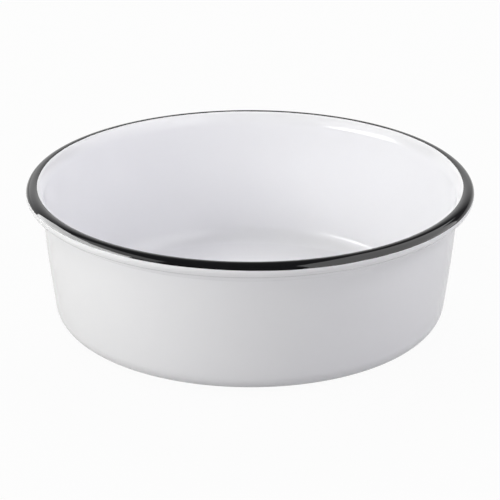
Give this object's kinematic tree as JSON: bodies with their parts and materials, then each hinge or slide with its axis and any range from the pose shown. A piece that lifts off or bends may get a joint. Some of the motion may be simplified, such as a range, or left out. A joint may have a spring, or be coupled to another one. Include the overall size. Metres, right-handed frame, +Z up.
{
  "type": "serving bowl",
  "caption": "Round enamelled steel serving bowl with a flat base, a slightly tapered wall and a black rolled rim.",
  "frame": {"origin": "middle of the flat base, on the surface that the bowl stands on", "axes": "+Z up along the bowl's axis of revolution, out of its mouth; X and Y are alike"},
  "size_m": [0.25, 0.25, 0.08],
  "materials": {
    "steel": "drawn low-carbon sheet, hidden under the enamel",
    "ground_enamel": "dark bonding enamel, hidden under the cover coats",
    "white_enamel": "gloss white fired enamel",
    "black_enamel": "gloss black fired enamel"
  },
  "bodies": {
    "root": {"steel_body": "steel", "ground_coat_inside": "ground_enamel", "ground_coat_outside": "ground_enamel", "white_coat_inside": "white_enamel", "black_rim_band": "black_enamel", "white_coat_under_rim": "white_enamel", "white_coat_outside": "white_enamel"}
  },
  "joints": []
}
